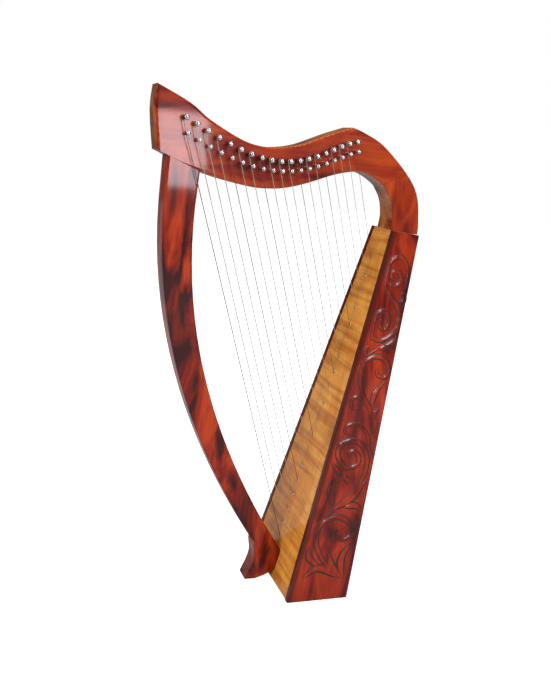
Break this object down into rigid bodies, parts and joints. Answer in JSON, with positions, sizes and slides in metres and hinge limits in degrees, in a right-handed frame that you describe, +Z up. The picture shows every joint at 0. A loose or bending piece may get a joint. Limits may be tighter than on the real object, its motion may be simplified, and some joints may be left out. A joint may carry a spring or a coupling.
{
  "type": "lap harp",
  "caption": "Small floor-standing lap harp with a bowed pillar, carved-sided soundbox, curved neck and nylon strings on turning tuning pins.",
  "frame": {"origin": "on the floor, at the middle of the harp's length and width", "axes": "+Z up, +X from the pillar towards the player at the soundbox, +Y to the player's right, away from the side on which the strings hang"},
  "size_m": [0.4205, 0.166, 0.739],
  "materials": {
    "red_varnished_wood": "deep red stain under glossy varnish",
    "dark_edging": "dark red-brown glossy varnish",
    "figured_maple": "golden stain, cross figure, glossy varnish",
    "plain_inner_wood": "bare planed wood",
    "polished_steel": "polished nickel plate",
    "clear_nylon": "translucent drawn nylon",
    "red_nylon": "red dyed nylon",
    "black_nylon": "black dyed nylon"
  },
  "bodies": {
    "root": {"back_panel": "red_varnished_wood", "bottom_block": "plain_inner_wood", "left_edge_strip": "dark_edging", "left_liner": "plain_inner_wood", "left_side_panel": "red_varnished_wood", "lower_back_brace": "plain_inner_wood", "neck": "red_varnished_wood", "neck_dowel": "plain_inner_wood", "pillar": "red_varnished_wood", "pillar_bolt": "polished_steel", "pillar_dowel": "plain_inner_wood", "right_edge_strip": "dark_edging", "right_liner": "plain_inner_wood", "right_side_panel": "red_varnished_wood", "shoulder": "red_varnished_wood", "shoulder_dowel": "plain_inner_wood", "soundboard": "figured_maple", "string_01": "black_nylon", "string_02": "clear_nylon", "string_03": "clear_nylon", "string_04": "clear_nylon", "string_05": "red_nylon", "string_06": "clear_nylon", "string_07": "clear_nylon", "string_08": "black_nylon", "string_09": "clear_nylon", "string_10": "clear_nylon", "string_11": "clear_nylon", "string_12": "red_nylon", "string_13": "clear_nylon", "string_14": "clear_nylon", "string_15": "black_nylon", "string_16": "clear_nylon", "string_17": "clear_nylon", "string_18": "clear_nylon", "string_19": "red_nylon", "string_rib": "plain_inner_wood", "top_block": "plain_inner_wood", "upper_back_brace": "plain_inner_wood"},
    "pin_01": {"tuning_pin_01": "polished_steel"},
    "pin_02": {"tuning_pin_02": "polished_steel"},
    "pin_03": {"tuning_pin_03": "polished_steel"},
    "pin_04": {"tuning_pin_04": "polished_steel"},
    "pin_05": {"tuning_pin_05": "polished_steel"},
    "pin_06": {"tuning_pin_06": "polished_steel"},
    "pin_07": {"tuning_pin_07": "polished_steel"},
    "pin_08": {"tuning_pin_08": "polished_steel"},
    "pin_09": {"tuning_pin_09": "polished_steel"},
    "pin_10": {"tuning_pin_10": "polished_steel"},
    "pin_11": {"tuning_pin_11": "polished_steel"},
    "pin_12": {"tuning_pin_12": "polished_steel"},
    "pin_13": {"tuning_pin_13": "polished_steel"},
    "pin_14": {"tuning_pin_14": "polished_steel"},
    "pin_15": {"tuning_pin_15": "polished_steel"},
    "pin_16": {"tuning_pin_16": "polished_steel"},
    "pin_17": {"tuning_pin_17": "polished_steel"},
    "pin_18": {"tuning_pin_18": "polished_steel"},
    "pin_19": {"tuning_pin_19": "polished_steel"}
  },
  "joints": [
    {"name": "turn_pin_01", "type": "hinge", "parent": "root", "child": "pin_01", "pos_m": [-0.16909, 0, 0.69783], "axis": [0, 1, 0], "continuous": true},
    {"name": "turn_pin_02", "type": "hinge", "parent": "root", "child": "pin_02", "pos_m": [-0.15302, 0, 0.69035], "axis": [0, 1, 0], "continuous": true},
    {"name": "turn_pin_03", "type": "hinge", "parent": "root", "child": "pin_03", "pos_m": [-0.1367, 0, 0.68257], "axis": [0, 1, 0], "continuous": true},
    {"name": "turn_pin_04", "type": "hinge", "parent": "root", "child": "pin_04", "pos_m": [-0.12031, 0, 0.67496], "axis": [0, 1, 0], "continuous": true},
    {"name": "turn_pin_05", "type": "hinge", "parent": "root", "child": "pin_05", "pos_m": [-0.10399, 0, 0.66793], "axis": [0, 1, 0], "continuous": true},
    {"name": "turn_pin_06", "type": "hinge", "parent": "root", "child": "pin_06", "pos_m": [-0.08787, 0, 0.6618], "axis": [0, 1, 0], "continuous": true},
    {"name": "turn_pin_07", "type": "hinge", "parent": "root", "child": "pin_07", "pos_m": [-0.07206, 0, 0.65684], "axis": [0, 1, 0], "continuous": true},
    {"name": "turn_pin_08", "type": "hinge", "parent": "root", "child": "pin_08", "pos_m": [-0.05663, 0, 0.65324], "axis": [0, 1, 0], "continuous": true},
    {"name": "turn_pin_09", "type": "hinge", "parent": "root", "child": "pin_09", "pos_m": [-0.04167, 0, 0.65112], "axis": [0, 1, 0], "continuous": true},
    {"name": "turn_pin_10", "type": "hinge", "parent": "root", "child": "pin_10", "pos_m": [-0.02719, 0, 0.65053], "axis": [0, 1, 0], "continuous": true},
    {"name": "turn_pin_11", "type": "hinge", "parent": "root", "child": "pin_11", "pos_m": [-0.01323, 0, 0.65145], "axis": [0, 1, 0], "continuous": true},
    {"name": "turn_pin_12", "type": "hinge", "parent": "root", "child": "pin_12", "pos_m": [0.00022, 0, 0.6538], "axis": [0, 1, 0], "continuous": true},
    {"name": "turn_pin_13", "type": "hinge", "parent": "root", "child": "pin_13", "pos_m": [0.01319, 0, 0.6574], "axis": [0, 1, 0], "continuous": true},
    {"name": "turn_pin_14", "type": "hinge", "parent": "root", "child": "pin_14", "pos_m": [0.02571, 0, 0.66203], "axis": [0, 1, 0], "continuous": true},
    {"name": "turn_pin_15", "type": "hinge", "parent": "root", "child": "pin_15", "pos_m": [0.03786, 0, 0.66738], "axis": [0, 1, 0], "continuous": true},
    {"name": "turn_pin_16", "type": "hinge", "parent": "root", "child": "pin_16", "pos_m": [0.04972, 0, 0.67309], "axis": [0, 1, 0], "continuous": true},
    {"name": "turn_pin_17", "type": "hinge", "parent": "root", "child": "pin_17", "pos_m": [0.06141, 0, 0.6787], "axis": [0, 1, 0], "continuous": true},
    {"name": "turn_pin_18", "type": "hinge", "parent": "root", "child": "pin_18", "pos_m": [0.07305, 0, 0.68371], "axis": [0, 1, 0], "continuous": true},
    {"name": "turn_pin_19", "type": "hinge", "parent": "root", "child": "pin_19", "pos_m": [0.08481, 0, 0.68753], "axis": [0, 1, 0], "continuous": true}
  ]
}
